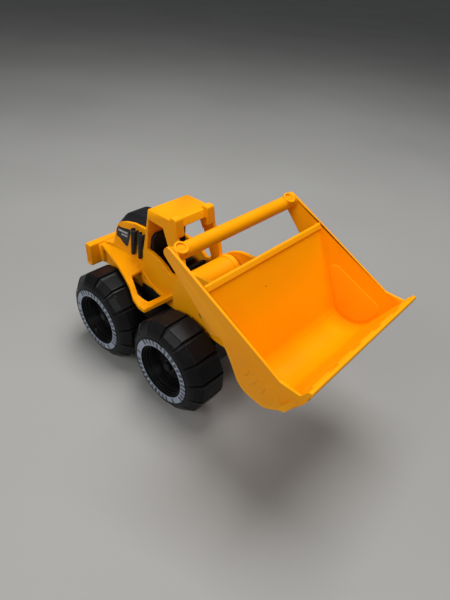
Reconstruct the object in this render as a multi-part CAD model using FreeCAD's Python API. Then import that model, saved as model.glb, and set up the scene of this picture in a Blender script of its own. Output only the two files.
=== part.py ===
import FreeCAD, Part
import math
import os

# Toy wheel loader, four big wheels, cab, hinged bucket with a cross handle.
# Frame: millimetres, +X forward (towards the bucket), +Y the loader's left, +Z up,
# ground at z = 0, origin under the middle of the bounding box.

V = FreeCAD.Vector
Y_AXIS = V(0, 1, 0)
Z_AXIS = V(0, 0, 1)

# ---- driving dimensions -------------------------------------------------
HALF_LENGTH = 125.3        # rear bumper to bucket lip is twice this
WHEELBASE = 83.0
FRONT_AXLE_X = -1.0
REAR_AXLE_X = FRONT_AXLE_X - WHEELBASE
TYRE_R = 40.0
AXLE_Z = TYRE_R
AXLE_R = 2.0
WALL = 2.2                 # moulded wall thickness
RUNNING_GAP = 0.06         # radial clearance of a shaft in its bore

TYRE_IN_Y = 26.0           # tyre's inner and outer faces, from the mid plane
TYRE_OUT_Y = 56.2
RING_R = 28.0              # printed band on the sidewall
RING_IN_R = 22.4
LUGS = 14
GROOVE_W = 2.4
GROOVE_D = 2.6
TYRE_WALL = 1.8            # bore and inner side of the hollow tyre
VENT_R = 1.2
VENT_FROM_AXLE = 30.0

BODY_HALF = 21.0           # half width of cab and lower body
CHASSIS_HALF = 19.0
CHASSIS_Z0, CHASSIS_Z1 = 27.0, 67.5

HINGE_X, HINGE_Z = 10.2, 84.8
HINGE_PIN_R = 2.5
BARREL_X, BARREL_Z = -4.4, 96.8
BARREL_R, COLLAR_R = 13.2, 14.0
COLLAR_Y0 = 16.1
EAR_R = 32.0
EAR_Y0, EAR_Y1 = 21.6, 24.8

BUCKET_IN, BUCKET_OUT = 58.7, 60.6
HANDLE_X, HANDLE_Z = 17.0, 152.6
HANDLE_R = 5.0
BOSS_R, BOSS_H, BOSS_Y = 4.6, 5.8, 52.8
OPENING_TILT = math.radians(25.8)   # slope of the bucket's mouth, front end low

LAMP_IN_Y, LAMP_OUT_Y = 11.8, 19.4
CAB_SIDE_T = 3.6           # thickness of the cab's side walls and pillars


# ---- helpers ------------------------------------------------------------
def box(x0, x1, y0, y1, z0, z1):
    return Part.makeBox(x1 - x0, y1 - y0, z1 - z0, V(x0, y0, z0))


def cyl_y(x, z, r, y0, y1):
    return Part.makeCylinder(r, y1 - y0, V(x, y0, z), Y_AXIS)


def cyl_z(x, y, r, z0, z1):
    return Part.makeCylinder(r, z1 - z0, V(x, y, z0), Z_AXIS)


def prism_y(points, y0, y1):
    """Closed outline of (x, z) points, extruded from y0 to y1."""
    ring = [V(x, y0, z) for x, z in points]
    return Part.Face(Part.makePolygon(ring + ring[:1])).extrude(V(0, y1 - y0, 0))


def mirror_y(shape):
    return shape.mirror(V(0, 0, 0), Y_AXIS)


def both(shape):
    return [shape, mirror_y(shape)]


def fuse(shapes):
    return shapes[0].multiFuse(shapes[1:]).removeSplitter()


def loft(wires):
    return Part.makeLoft(wires, True, True)


def closed(points):
    return Part.makePolygon(points + points[:1])


def spin_y(points, x, z):
    """Revolve (y, r) points about the Y axis through (x, z)."""
    ring = [V(x + r, y, z) for y, r in points]
    return Part.Face(closed(ring)).revolve(V(x, 0, z), Y_AXIS, 360)


def round_wire(points, radii):
    """Closed (x, z) outline with its corners rounded, as one wire at y = 0."""
    edges = []
    n = len(points)
    tangents = []
    for i in range(n):
        p = V(points[i][0], 0, points[i][1])
        a = V(points[i - 1][0], 0, points[i - 1][1]) - p
        b = V(points[(i + 1) % n][0], 0, points[(i + 1) % n][1]) - p
        half = a.getAngle(b) / 2
        r = radii[i]
        if r == 0:
            tangents.append((p, p, p))
            continue
        cut = r / math.tan(half)
        a.normalize()
        b.normalize()
        mid = a + b
        mid.normalize()
        top = p + mid * (r / math.sin(half) - r)
        tangents.append((p + a * cut, top, p + b * cut))
    for i in range(n):
        start, top, end = tangents[i]
        if radii[i]:
            edges.append(Part.Arc(start, top, end).toShape())
        nxt = tangents[(i + 1) % n][0]
        if end.distanceToPoint(nxt) > 1e-6:
            edges.append(Part.LineSegment(end, nxt).toShape())
    return Part.Wire(edges)


def rounded_prism_y(points, radii, y0, y1):
    face = Part.Face(round_wire(points, radii))
    face.translate(V(0, y0, 0))
    return face.extrude(V(0, y1 - y0, 0))


# ---- wheels -------------------------------------------------------------
def tyre(axle_x):
    """Left tyre: a closed hollow moulding with cross lugs and a small vent in its inner side."""
    shell = spin_y([(TYRE_IN_Y, RING_IN_R), (TYRE_IN_Y, 38.2), (TYRE_IN_Y + 1.6, TYRE_R),
                    (48.9, TYRE_R), (53.6, 34.6), (55.7, 30.4), (TYRE_OUT_Y, RING_R),
                    (TYRE_OUT_Y, RING_IN_R)], axle_x, AXLE_Z)
    bore_wall = RING_IN_R + TYRE_WALL
    hollow = spin_y([(TYRE_IN_Y + TYRE_WALL, bore_wall), (TYRE_IN_Y + TYRE_WALL, 35.6),
                     (46.6, 35.6), (50.2, 31.4), (52.4, 27.6), (52.4, bore_wall)],
                    axle_x, AXLE_Z)
    shell = shell.cut(hollow)
    shell = shell.cut(cyl_y(axle_x + VENT_FROM_AXLE, AXLE_Z, VENT_R, TYRE_IN_Y - 1,
                            TYRE_IN_Y + TYRE_WALL + 1))
    for k in range(LUGS):
        groove = box(-GROOVE_W / 2, GROOVE_W / 2, TYRE_IN_Y - 1, 52.0,
                     TYRE_R - GROOVE_D, TYRE_R + 5)
        groove.rotate(V(0, 0, 0), Y_AXIS, (k + 0.5) * 360.0 / LUGS)
        groove.translate(V(axle_x, 0, AXLE_Z))
        shell = shell.cut(groove)
    return shell


def hub(axle_x):
    """Left hub: dished disc with a rim that plugs into the tyre and a centre tube."""
    return spin_y([(28.0, AXLE_R), (28.0, 5.0), (41.5, 6.5), (41.5, 19.5), (50.0, 21.0),
                   (50.0, RING_IN_R), (54.6, RING_IN_R), (54.6, 21.6), (44.2, 18.6),
                   (44.2, 5.6), (47.0, 5.0), (47.0, AXLE_R)], axle_x, AXLE_Z)


def axle(axle_x):
    return cyl_y(axle_x, AXLE_Z, AXLE_R, -49.0, 49.0)


def axle_cap(axle_x):
    """Left push-on cap over the end of the axle."""
    cap = cyl_y(axle_x, AXLE_Z, 4.0, 47.0, 50.4)
    return cap.cut(cyl_y(axle_x, AXLE_Z, AXLE_R, 46.0, 49.0))


# ---- chassis ------------------------------------------------------------
CHASSIS_X0, CHASSIS_X1 = -112.0, 20.0
CHASSIS_FLOOR_Z = 46.0
SCREW_SPOTS = [(x, y) for x in (-100.0, -42.5, 12.0) for y in (-13.0, 13.0)]
SCREW_HEAD_R, SCREW_R = 2.6, 1.4
SCREW_WELL_R, SCREW_WELL_TOP = 2.8, 32.0
HEAD_T = 1.6               # height of every screw's head
KEEPER_HALF_X, KEEPER_H = 7.0, 4.0
KEEPER_SCREW_X, KEEPER_SCREW_Y = 4.6, 14.0
KEEPER_HEAD_R, KEEPER_SCREW_R = 2.2, 1.2


def chassis():
    """Black tray that carries both axles; its mouth faces up under the shell."""
    tray = rounded_prism_y([(CHASSIS_X0, CHASSIS_Z1), (CHASSIS_X0, 36.0),
                            (-98.0, CHASSIS_Z0), (8.0, CHASSIS_Z0), (CHASSIS_X1, 36.0),
                            (CHASSIS_X1, CHASSIS_Z1)], [0, 6, 6, 6, 6, 0],
                           -CHASSIS_HALF, CHASSIS_HALF)
    tray = tray.cut(box(CHASSIS_X0 + WALL, CHASSIS_X1 - WALL, WALL - CHASSIS_HALF,
                        CHASSIS_HALF - WALL, CHASSIS_FLOOR_Z, CHASSIS_Z1 + 1))
    for x in (FRONT_AXLE_X, REAR_AXLE_X):
        tray = tray.cut(cyl_y(x, AXLE_Z, AXLE_R + RUNNING_GAP, -30, 30))
        tray = tray.cut(box(x - AXLE_R - RUNNING_GAP, x + AXLE_R + RUNNING_GAP,
                            -30, 30, CHASSIS_Z0 - 1, AXLE_Z))
        tray = tray.cut(box(x - KEEPER_HALF_X, x + KEEPER_HALF_X, -30, 30,
                            CHASSIS_Z0 - 1, CHASSIS_Z0 + KEEPER_H))
    for x, y in SCREW_SPOTS:
        tray = tray.cut(cyl_z(x, y, SCREW_WELL_R, 20, SCREW_WELL_TOP))
        tray = tray.cut(cyl_z(x, y, SCREW_R, 20, CHASSIS_FLOOR_Z + 1))
    return tray


def keeper_spots(axle_x):
    return [(axle_x + dx, dy) for dx in (-KEEPER_SCREW_X, KEEPER_SCREW_X)
            for dy in (-KEEPER_SCREW_Y, KEEPER_SCREW_Y)]


def axle_keeper(axle_x):
    """Strap across the underside that closes the axle's slot."""
    plate = box(axle_x - KEEPER_HALF_X, axle_x + KEEPER_HALF_X, -CHASSIS_HALF,
                CHASSIS_HALF, CHASSIS_Z0, CHASSIS_Z0 + KEEPER_H)
    rib = box(axle_x - AXLE_R, axle_x + AXLE_R, -CHASSIS_HALF, CHASSIS_HALF,
              CHASSIS_Z0 + KEEPER_H, AXLE_Z - AXLE_R - RUNNING_GAP)
    strap = plate.fuse(rib)
    for x, y in keeper_spots(axle_x):
        strap = strap.cut(cyl_z(x, y, KEEPER_SCREW_R, 20, AXLE_Z))
    return strap.removeSplitter()


def screw(x, y, head_z, shank_top, head_r, shank_r):
    """Cross-head screw driven upwards, head lowest."""
    head = cyl_z(x, y, head_r, head_z, head_z + HEAD_T)
    shank = cyl_z(x, y, shank_r, head_z + HEAD_T, shank_top)
    slot = box(x - 1.5, x + 1.5, y - 0.35, y + 0.35, head_z - 1, head_z + 0.7)
    cross = slot.fuse(box(x - 0.35, x + 0.35, y - 1.5, y + 1.5, head_z - 1, head_z + 0.7))
    return head.fuse(shank).cut(cross).removeSplitter()


def chassis_screws():
    head_z = SCREW_WELL_TOP - HEAD_T
    return [screw(x, y, head_z, CHASSIS_FLOOR_Z, SCREW_HEAD_R, SCREW_R) for x, y in SCREW_SPOTS]


def keeper_screws():
    spots = keeper_spots(FRONT_AXLE_X) + keeper_spots(REAR_AXLE_X)
    return [screw(x, y, CHASSIS_Z0 - HEAD_T, CHASSIS_Z0 + KEEPER_H, KEEPER_HEAD_R,
                  KEEPER_SCREW_R) for x, y in spots]


# ---- body shell ---------------------------------------------------------
# Wing stations: x, edge half width, edge height, height where the wing meets the body.
WING = [(-114.4, 23.8, 85.4, 90.8), (-95.6, 28.0, 83.2, 95.4), (-78.6, 32.8, 83.8, 95.2),
        (-67.6, 35.2, 80.2, 92.2), (-59.2, 37.2, 76.0, 86.0), (-52.0, 39.8, 69.8, 80.4),
        (-44.4, 40.8, 67.0, 77.6), (-37.6, 40.6, 66.8, 76.4), (-33.4, 34.4, 70.6, 78.6),
        (-24.0, 22.0, 79.0, 86.6)]
WING_LIP = 3.6
HOOD = [(-101.6, 15.4, 109.6), (-94.8, 15.8, 115.6), (-85.6, 16.2, 119.6),
        (-75.0, 16.6, 122.4), (-58.0, 17.0, 123.6)]
COVER_HALF, COVER_FLAT, COVER_CROWN = 15.0, 0.55, 3.6
EXHAUST_X = (-71.6, -62.8)
EXHAUST_TOP_Z, EXHAUST_Y = 118.6, 19.2
EXHAUST_LEN, EXHAUST_R, EXHAUST_TIP_R = 21.0, 2.9, 1.5
LABEL_T = 0.25
LABEL = [(-98.4, 109.2), (-96.6, 111.8), (-80.4, 115.0), (-79.0, 113.2), (-81.2, 100.6),
         (-83.2, 98.8), (-96.4, 103.4)]
# Plan outline of the opening in the left wing beside the cab.
FOOTWELL = [(-64.3, 30.6), (-62.6, 22.0), (-36.4, 22.0), (-41.0, 33.2), (-51.8, 34.8)]
HOOD_BASE_HALF = 21.0
BUMPER_T, BUMPER_HALF = 7.4, 33.6
BUMPER_Z0, BUMPER_Z1 = 68.4, 89.6
BUMPER_GROOVE = 1.7        # pitch of the upright grooves, twice their width
HOOD_BASE_Z = 92.0


def wing():
    """Left wing: a sheet that drops from the body to its rim, over both wheels."""
    wires = []
    for x, edge, low, root in WING:
        top = low + WING_LIP
        wires.append(closed([V(x, 18.8, root), V(x, edge, top), V(x, edge, low),
                             V(x, edge - WALL, low), V(x, edge - WALL, top - WALL),
                             V(x, 18.8, root - WALL)]))
    return loft(wires)


def hood_block(inset):
    """Tapered hood, crowned towards the cab, shrunk by inset on every side."""
    wires = []
    for x, half, top in HOOD:
        if x == HOOD[0][0]:
            x += inset
        wires.append(closed([V(x, -half + inset, top - inset), V(x, half - inset, top - inset),
                             V(x, HOOD_BASE_HALF - inset, HOOD_BASE_Z - 2 * inset),
                             V(x, -HOOD_BASE_HALF + inset, HOOD_BASE_Z - 2 * inset)]))
    return loft(wires)


def footwell_cutter():
    """Opening in the left wing beside the cab."""
    ring = [V(x, y, 0) for x, y in FOOTWELL]
    return Part.Face(closed(ring)).extrude(V(0, 0, 2 * HOOD_BASE_Z))


def bumper():
    """Rear bumper bar with upright grooves in its ends, and the neck that carries it."""
    front_x = BUMPER_T - HALF_LENGTH
    bar = rounded_prism_y([(-HALF_LENGTH, BUMPER_Z0), (-HALF_LENGTH, BUMPER_Z1),
                           (front_x, BUMPER_Z1), (front_x, BUMPER_Z0)],
                          [2, 2.4, 2, 2], -BUMPER_HALF, BUMPER_HALF)
    for i in range(3):
        x = BUMPER_GROOVE - HALF_LENGTH + i * BUMPER_GROOVE
        for y in (-BUMPER_HALF, BUMPER_HALF):
            bar = bar.cut(box(x, x + BUMPER_GROOVE / 2, y - 0.7, y + 0.7,
                              BUMPER_Z0 + 3.0, BUMPER_Z1 - 3.0))
    neck = box(front_x - 1.0, -114.0, -24.0, 24.0, BUMPER_Z0 + 2.0, BUMPER_Z1 - 2.0)
    return bar.fuse(neck)


def body_shell():
    """Yellow upper moulding: rear deck, bumper, hood, wings and hinge nose."""
    lower = rounded_prism_y([(-116.4, 68.0), (-116.4, 90.2), (-100.0, 95.2), (-61.0, 95.2),
                             (-61.0, 79.0), (-20.0, 79.0), (-12.0, 84.0), (2.0, 99.0),
                             (22.6, 92.0), (22.6, 78.0), (16.0, 68.0)],
                            [0, 3, 0, 0, 0, 0, 3, 4, 7, 7, 2], -BODY_HALF, BODY_HALF)
    inside = prism_y([(-114.2, 60.0), (-114.2, 88.0), (-99.6, 92.8), (-63.2, 92.8),
                      (-63.2, 76.8), (0.0, 76.8), (0.0, 60.0)],
                     WALL - BODY_HALF, BODY_HALF - WALL)
    hood = hood_block(0)
    shell = fuse([lower, hood] + both(wing()))
    shell = shell.cut(inside).cut(hood_block(WALL))
    for hole in both(footwell_cutter()):
        shell = shell.cut(hole)
    shell = shell.cut(cyl_y(BARREL_X, BARREL_Z, COLLAR_R, -30, 30))
    shell = shell.cut(cyl_y(HINGE_X, HINGE_Z, HINGE_PIN_R, -30, 30))
    return fuse([shell, bumper()])


def hood_cover():
    """Black crowned lid on the hood."""
    wires = []
    for x, half, top in HOOD:
        half = min(half, COVER_HALF)
        flat = half * COVER_FLAT
        wires.append(closed([V(x, -half, top), V(x, -flat, top + COVER_CROWN),
                             V(x, flat, top + COVER_CROWN), V(x, half, top)]))
    return loft(wires)


def exhaust_pair():
    """Two tapered pipes with a shared backing strip on the hood's left side."""
    _, top_half, top_z = HOOD[3]
    lean = math.degrees(math.atan2(HOOD_BASE_HALF - top_half, top_z - HOOD_BASE_Z))
    pieces = [box(EXHAUST_X[0], EXHAUST_X[1], -1.2, 0.3, -16.0, -3.0)]
    for x in EXHAUST_X:
        pieces.append(Part.makeCone(EXHAUST_TIP_R, EXHAUST_R, EXHAUST_LEN,
                                    V(x, 0, -EXHAUST_LEN), Z_AXIS))
        pieces.append(Part.makeSphere(EXHAUST_R, V(x, 0, 0)))
    pair = fuse(pieces)
    pair.rotate(V(0, 0, 0), V(1, 0, 0), lean)
    pair.translate(V(0, EXHAUST_Y, EXHAUST_TOP_Z))
    return pair.cut(hood_block(0))


def hood_label():
    """Thin sticker on the hood's left side."""
    ring = [V(x, HOOD[0][1] - 4.0, z) for x, z in LABEL]
    block = Part.Face(closed(ring)).extrude(V(0, 12.0, 0))
    return block.cut(hood_block(0)).common(hood_block(-LABEL_T))


# ---- cab ----------------------------------------------------------------
# Cab levels: height, rear x, front x, half width.
CAB = [(79.0, -62.6, -12.8, 21.0), (104.4, -61.2, -12.8, 20.8), (116.4, -58.4, -15.0, 20.4),
       (144.0, -53.4, -26.8, 19.6)]
SILL_Z = 103.6
SIDE_WINDOW = [(-53.2, 135.4), (-36.8, 134.8), (-21.6, 101.0), (-28.6, 98.8), (-34.6, 103.0),
               (-41.0, 105.8), (-48.8, 108.0), (-55.4, 108.6)]


def cab_block(inset_x, inset_y, drop, low):
    wires = []
    for z, rear, front, half in CAB:
        z = z - drop if z == CAB[-1][0] else z
        z = z - low if z == CAB[0][0] else z
        half -= inset_y
        wires.append(closed([V(rear + inset_x, -half, z), V(front - inset_x, -half, z),
                             V(front - inset_x, half, z), V(rear + inset_x, half, z)]))
    return loft(wires)


def cab_shell():
    """Yellow cab: roof, side walls with big windows, open windscreen, front wall."""
    cab = cab_block(0, 0, 0, 0)
    cab = cab.cut(cab_block(WALL + 0.6, CAB_SIDE_T, 3.0, 1.0))
    cab = cab.cut(prism_y(SIDE_WINDOW, -40, 40))
    cab = cab.cut(box(-32.0, 0.0, -17.4, 17.4, SILL_Z, 138.0))
    cab = cab.cut(cyl_y(BARREL_X, BARREL_Z, COLLAR_R, -30, 30))
    cab = cab.cut(prism_y([(-22.0, 77.0), (-20.4, 79.2), (-11.0, 85.0), (-11.0, 77.0)], -30, 30))
    lamp = rounded_prism_y([(-29.4, 131.4), (-29.4, 146.4), (-23.4, 146.4), (-21.4, 131.4)],
                           [1, 1, 2, 2], LAMP_IN_Y, LAMP_OUT_Y)
    return fuse([cab] + both(lamp))


def cab_interior():
    """Black seat and floor inside the cab."""
    floor = box(-58.0, -22.0, -17.0, 17.0, 79.4, 84.0)
    back = Part.Face(closed([V(-58.0, -16.8, 84.0), V(-58.0, 16.8, 84.0), V(-58.0, 16.8, 117.0),
                             V(-58.0, 13.4, 121.6), V(-58.0, -13.4, 121.6),
                             V(-58.0, -16.8, 117.0)])).extrude(V(6.0, 0, 0))
    cushion = box(-52.0, -36.0, -12.0, 12.0, 84.0, 97.0)
    dash = prism_y([(-24.4, 84.0), (-24.4, 100.0), (-29.0, 98.0), (-32.0, 84.0)], -14.0, 14.0)
    return fuse([floor, back, cushion, dash]).common(cab_block(WALL + 0.8, CAB_SIDE_T + 0.2, 5, 1))


# ---- hinge --------------------------------------------------------------
def cross_barrel():
    """Fat cross tube with a collar at each end, in front of the windscreen."""
    core = cyl_y(BARREL_X, BARREL_Z, BARREL_R, -COLLAR_Y0, COLLAR_Y0)
    collar = cyl_y(BARREL_X, BARREL_Z, COLLAR_R, COLLAR_Y0, BODY_HALF)
    return fuse([core] + both(collar))


def hinge_pin():
    """Pin through the nose of the body, with an ear turning on each end."""
    return cyl_y(HINGE_X, HINGE_Z, HINGE_PIN_R, -EAR_Y1 - 0.2, EAR_Y1 + 0.2)


# ---- bucket -------------------------------------------------------------
# The side plates lean inwards away from the mouth, by DRAFT, about the mouth's edge.
MOUTH_X, MOUTH_Z = 105.1, 115.9
MOUTH_DIR = V(math.cos(OPENING_TILT), 0, -math.sin(OPENING_TILT))
INWARD = V(-math.sin(OPENING_TILT), 0, -math.cos(OPENING_TILT))
DRAFT = math.radians(9.1)
SIDE = [(MOUTH_X, MOUTH_Z), (15.5, 159.3), (8.6, 152.4), (32.3, 129.9), (48.3, 110.3),
        (58.4, 114.6), (64.4, 100.9), (72.8, 78.4), (93.0, 78.4), (109.6, 92.4),
        (123.6, 115.6), (118.8, MOUTH_Z)]
SIDE_R = [2, 4, 4, 12, 2, 2, 12, 12, 12, 20, 1, 0]
# Scoop line, inside face: rim, heel, front of the floor, lip.
SCOOP = [(44.9, 142.5), (77.6, 82.2), (98.0, 82.2), (121.6, 120.6)]
SCOOP_R = 17.0
SCOOP_T = 2.2
RIM_LINE = [(42.8, 138.8), (41.6, 143.2), (44.6, 144.8), (46.6, 141.4)]
LIP_LINE = [(106.5, 96.0), (122.65, 122.3), (124.4, 122.6), (HALF_LENGTH, 121.4),
            (124.0, 117.0), (110.6, 95.2)]


def scoop_corner(before, corner, after):
    """Line up to a rounded corner of the scoop, and the arc round it."""
    back = before - corner
    ahead = after - corner
    half = back.getAngle(ahead) / 2
    back.normalize()
    ahead.normalize()
    cut = SCOOP_R / math.tan(half)
    middle = back + ahead
    middle.normalize()
    top = corner + middle * (SCOOP_R / math.sin(half) - SCOOP_R)
    return corner + back * cut, top, corner + ahead * cut


def scoop_line(shift):
    """Wire of the scoop: lines with rounded corners, moved outwards by shift."""
    points = [V(x, 0, z) for x, z in SCOOP]
    start = points[0]
    edges = []
    for i in (1, 2):
        first, top, last = scoop_corner(points[i - 1], points[i], points[i + 1])
        edges.append(Part.LineSegment(start, first).toShape())
        edges.append(Part.Arc(first, top, last).toShape())
        start = last
    edges.append(Part.LineSegment(start, points[3]).toShape())
    wire = Part.Wire(edges)
    if shift == 0:
        return wire
    sides = [wire.makeOffset2D(d, openResult=True) for d in (shift, -shift)]
    return min(sides, key=lambda w: w.BoundBox.ZMin)


def draft_wedge(half_at_mouth):
    """Space between the two leaning side plates, as a wedge along the mouth."""
    section = []
    for depth, side in ((-30.0, 1), (-30.0, -1), (60.0, -1), (60.0, 1)):
        half = half_at_mouth - math.tan(DRAFT) * depth
        base = V(MOUTH_X, side * half, MOUTH_Z) + INWARD * depth
        section.append(base - MOUTH_DIR * 140.0)
    return Part.Face(closed(section)).extrude(MOUTH_DIR * 200.0)


def scoop_sheet():
    """Curved back and floor of the bucket, one wall thick."""
    inner, outer = scoop_line(0), scoop_line(SCOOP_T)
    a0, a1 = [v.Point for v in inner.OrderedVertexes[::len(inner.Edges)]]
    b0, b1 = [v.Point for v in outer.OrderedVertexes[::len(outer.Edges)]]
    if a0.distanceToPoint(b0) > a0.distanceToPoint(b1):
        b0, b1 = b1, b0
    ends = [Part.LineSegment(a0, b0).toShape(), Part.LineSegment(a1, b1).toShape()]
    ring = Part.Wire(Part.__sortEdges__(inner.Edges + outer.Edges + ends))
    sheet = Part.Face(ring)
    sheet.translate(V(0, -BUCKET_OUT, 0))
    return sheet.extrude(V(0, 2 * BUCKET_OUT, 0)).common(draft_wedge(BUCKET_IN + 1.0))


def side_plate():
    """Left side plate: upright above the mouth's edge, leaning inwards below it."""
    upright = rounded_prism_y(SIDE, SIDE_R, BUCKET_IN, BUCKET_OUT)
    leaning = upright.copy()
    leaning.rotate(V(MOUTH_X, BUCKET_OUT, MOUTH_Z), MOUTH_DIR, -math.degrees(DRAFT))
    edge = V(MOUTH_X, 0, MOUTH_Z)
    corners = [edge - MOUTH_DIR * 140.0, edge + MOUTH_DIR * 60.0]
    corners += [corners[1] - INWARD * 40.0, corners[0] - INWARD * 40.0]
    above = prism_y([(c.x, c.z) for c in corners], 0, 80.0)
    return fuse([leaning.cut(above), upright.common(above)])


def lip_bar():
    """Thick cutting edge, as wide as the mouth."""
    return prism_y(LIP_LINE, -BUCKET_OUT, BUCKET_OUT)


def bucket():
    rim = prism_y(RIM_LINE, -BUCKET_OUT, BUCKET_OUT).common(draft_wedge(BUCKET_IN + 1.0))
    return fuse([scoop_sheet(), rim, lip_bar()] + both(side_plate()))


def lift_arm():
    """Left ear and arm: round about the hinge, running forward to the bucket's back."""
    disc = cyl_y(HINGE_X, HINGE_Z, EAR_R, EAR_Y0, EAR_Y1)
    beam = prism_y([(HINGE_X + 2.0, HINGE_Z + EAR_R), (55.2, 118.4), (67.5, 95.6),
                    (62.0, 88.0), (HINGE_X + 24.0, HINGE_Z - 20.0)], EAR_Y0, EAR_Y1)
    low_trim = box(-60, 80, EAR_Y0 - 1, EAR_Y1 + 1, 0, HINGE_Z - EAR_R / 2)
    arm = disc.fuse(beam).cut(low_trim)
    arm = arm.cut(cyl_y(HINGE_X, HINGE_Z, HINGE_PIN_R + RUNNING_GAP, 0, 40))
    return arm.removeSplitter()


def handle_bar():
    """Cross tube with a round boss at each end, between the side plates."""
    bar = cyl_y(HANDLE_X, HANDLE_Z, HANDLE_R, -BUCKET_IN, BUCKET_IN)
    up = -INWARD
    parts = [bar]
    wells = []
    for y in (-BOSS_Y, BOSS_Y):
        base = V(HANDLE_X, y, HANDLE_Z)
        parts.append(Part.makeCylinder(BOSS_R, BOSS_H, base, up))
        wells.append(Part.makeCylinder(BOSS_R - 1.4, BOSS_H, base + up * (BOSS_H - 1.2), up))
    bar = fuse(parts)
    for cutter in wells + both(side_plate()):
        bar = bar.cut(cutter)
    return bar


# ---- export -------------------------------------------------------------
def nodes():
    yield "body_shell", body_shell()
    yield "hood_cover", hood_cover()
    yield "exhausts_left", exhaust_pair()
    yield "exhausts_right", mirror_y(exhaust_pair())
    yield "hood_label_left", hood_label()
    yield "hood_label_right", mirror_y(hood_label())
    yield "cab_shell", cab_shell()
    yield "cab_seat", cab_interior()
    yield "cross_barrel", cross_barrel()
    yield "hinge_pin", hinge_pin()
    yield "chassis", chassis()
    yield "chassis_screws", Part.makeCompound(chassis_screws())
    yield "axle_keeper_front", axle_keeper(FRONT_AXLE_X)
    yield "axle_keeper_rear", axle_keeper(REAR_AXLE_X)
    yield "keeper_screws", Part.makeCompound(keeper_screws())
    for end, x in (("front", FRONT_AXLE_X), ("rear", REAR_AXLE_X)):
        left_tyre, left_hub, left_cap = tyre(x), hub(x), axle_cap(x)
        yield "axle_" + end, axle(x)
        yield "tyre_" + end + "_left", left_tyre
        yield "tyre_" + end + "_right", mirror_y(left_tyre)
        yield "hub_" + end + "_left", left_hub
        yield "hub_" + end + "_right", mirror_y(left_hub)
        yield "axle_caps_" + end, Part.makeCompound(both(left_cap))
    yield "bucket", bucket()
    left_arm = lift_arm()
    yield "lift_arm_left", left_arm
    yield "lift_arm_right", mirror_y(left_arm)
    yield "handle_bar", handle_bar()


os.makedirs("parts", exist_ok=True)
for name, shape in nodes():
    shape.exportStep("parts/" + name + ".step")
    b = shape.BoundBox
    print("%-18s solids %2d valid %s vol %8.0f  x %.1f..%.1f y %.1f..%.1f z %.1f..%.1f" % (
        name, len(shape.Solids), shape.isValid(), shape.Volume,
        b.XMin, b.XMax, b.YMin, b.YMax, b.ZMin, b.ZMax))
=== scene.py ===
"""Looks of a toy wheel loader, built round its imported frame.

Lengths are in metres, and every piece lies where its CAD body says. Wheels, tubes, trim and raised
details are grids worked out with numpy. Shells that already have the right shape are copied from the
frame and get the soft moulded edges that a sharp CAD solid lacks.
"""

import logging
import math
from dataclasses import dataclass
from enum import Enum
from typing import Any, Callable, Sequence

import bmesh
import bpy
import numpy as np
from mathutils import Matrix, Vector
from mathutils.bvhtree import BVHTree


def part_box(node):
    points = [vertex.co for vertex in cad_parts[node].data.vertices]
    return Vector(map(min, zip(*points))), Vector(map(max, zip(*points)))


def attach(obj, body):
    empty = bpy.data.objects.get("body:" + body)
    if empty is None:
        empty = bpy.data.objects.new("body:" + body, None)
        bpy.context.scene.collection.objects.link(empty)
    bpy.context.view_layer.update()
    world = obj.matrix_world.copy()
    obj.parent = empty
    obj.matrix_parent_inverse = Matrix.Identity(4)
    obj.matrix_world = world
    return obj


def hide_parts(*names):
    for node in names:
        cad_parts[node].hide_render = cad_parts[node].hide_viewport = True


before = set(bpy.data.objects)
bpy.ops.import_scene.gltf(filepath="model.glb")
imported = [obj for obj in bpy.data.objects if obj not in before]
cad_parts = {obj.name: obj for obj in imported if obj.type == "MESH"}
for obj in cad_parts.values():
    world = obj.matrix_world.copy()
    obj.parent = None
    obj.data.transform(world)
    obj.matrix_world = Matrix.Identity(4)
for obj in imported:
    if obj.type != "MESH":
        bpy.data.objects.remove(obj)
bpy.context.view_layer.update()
LOG = logging.getLogger("wheel_loader")
MM = 0.001
WELD = 2e-6                 # points nearer than this are one point
FINE_TURN = 32.0            # edges of turned pieces that bend more than this stay sharp, in degrees
EDGE_RADIUS = 1.0           # an edge this round, in millimetres, counts as fully an edge

Piece = bpy.types.Object
Tree = bpy.types.NodeTree
Colour = tuple[float, float, float, float]


class Body(Enum):
    """The rigid bodies of the frame."""

    MAIN = "body"
    FRONT = "front_wheels"
    REAR = "rear_wheels"
    BUCKET = "bucket"


class Slot(Enum):
    """Material slots of the record."""

    SHELL = "yellow_shell"
    SCOOP = "yellow_bucket"
    TRIM = "black_trim"
    INTERIOR = "black_interior"
    CHASSIS = "black_chassis"
    HUB = "black_hub"
    TYRE = "tyre_moulding"
    LABEL = "label"
    STEEL = "steel"


class Side(Enum):
    """Which side of the mid plane a piece lies on."""

    LEFT = 1
    RIGHT = -1

    @property
    def word(self) -> str:
        """The side's name in lower case."""
        return self.name.lower()


# ---- shapes ---------------------------------------------------------------
def smooth_step(low: float, high: float, x: np.ndarray) -> np.ndarray:
    """Rises from 0 at low to 1 at high along 3t^2 - 2t^3, flat outside."""
    t = np.clip((x - low) / (high - low), 0.0, 1.0)
    return t * t * (3.0 - 2.0 * t)


def unit(v: np.ndarray) -> np.ndarray:
    """The vector at length one."""
    return v / np.linalg.norm(v)


def linked(name: str, data: Any) -> Piece:
    """Makes an object that holds the data and adds it to the scene."""
    obj = bpy.data.objects.new(name, data)
    bpy.context.scene.collection.objects.link(obj)
    return obj


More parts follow.
